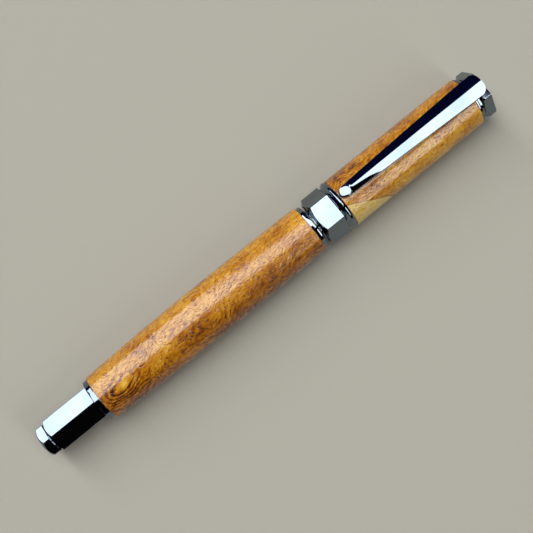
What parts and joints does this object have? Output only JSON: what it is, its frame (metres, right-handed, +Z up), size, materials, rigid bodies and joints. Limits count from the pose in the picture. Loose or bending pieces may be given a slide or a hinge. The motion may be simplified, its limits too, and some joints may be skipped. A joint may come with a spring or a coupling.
{
  "type": "rollerball pen",
  "caption": "Capped rollerball pen: turned wood barrel and cap on brass tubes, hexagonal plated band, end post and finial, spring clip, magnet cap and a screw-in grip.",
  "frame": {"origin": "under the middle of the pen's box, on the surface that its trim ring lies on", "axes": "+X along the pen from the end post to the finial, +Z up through the clip, +Y across the pen"},
  "size_m": [0.1456, 0.0146, 0.0164],
  "materials": {
    "turned_hardwood": "satin lacquered, figured",
    "black_nickel": "polished black nickel plate",
    "tube_brass": "drawn brass",
    "magnet_nickel": "bright nickel plate",
    "spring_steel": "drawn spring wire",
    "refill_steel": "bright stainless",
    "black_plastic": "moulded",
    "white_plastic": "moulded",
    "ink_fibre": "ink soaked fibre",
    "tungsten_carbide": "lapped ball"
  },
  "bodies": {
    "barrel": {"barrel_wood_sleeve": "turned_hardwood", "barrel_brass_tube": "tube_brass", "barrel_front_coupler": "black_nickel", "barrel_end_coupler": "black_nickel", "end_post": "black_nickel", "post_magnet": "magnet_nickel", "post_tip": "black_nickel", "refill_spring": "spring_steel"},
    "refill": {"refill_tube": "refill_steel", "refill_end_plug": "black_plastic", "ink_reservoir": "ink_fibre", "refill_nose": "black_plastic", "refill_tip": "refill_steel"},
    "ball": {"writing_ball": "tungsten_carbide"},
    "section": {"section_collar": "black_nickel", "section_magnet_ring": "magnet_nickel", "grip_sleeve": "black_nickel"},
    "cap": {"centre_band_hex": "black_nickel", "cap_magnet_ring": "magnet_nickel", "cap_trim_ring": "black_nickel", "cap_wood_sleeve": "turned_hardwood", "cap_brass_tube": "tube_brass", "cap_inner_liner": "white_plastic", "cap_plug": "tube_brass", "cap_screw": "refill_steel", "clip_ring": "black_nickel", "finial_hex": "black_nickel"},
    "clip": {"clip_arm": "black_nickel"}
  },
  "joints": [
    {"name": "refill_travel", "type": "slide", "parent": "barrel", "child": "refill", "axis": [1, 0, 0], "range_m": [0, 0.00605], "deforming": ["refill_spring"]},
    {"name": "section_unscrew", "type": "hinge", "parent": "refill", "child": "section", "pos_m": [0.01632, 0, 0.00727], "axis": [1, 0, 0], "range_deg": [0, 2160]},
    {"name": "cap_pull", "type": "slide", "parent": "section", "child": "cap", "axis": [1, 0, 0], "range_m": [0, 0.06]},
    {"name": "clip_flex", "type": "hinge", "parent": "cap", "child": "clip", "pos_m": [0.06857, 0.00104, 0.01467], "axis": [0, 0.9903, -0.1392], "range_deg": [0, 2.5], "stiffness_Nm_per_rad": 4},
    {"name": "ball_roll", "type": "hinge", "parent": "refill", "child": "ball", "pos_m": [0.05758, 0, 0.00727], "axis": [0, 1, 0], "continuous": true}
  ],
  "couplings": [
    {"joint": "refill_travel", "follows": "section_unscrew", "m_per_rad": 0.00015915}
  ]
}
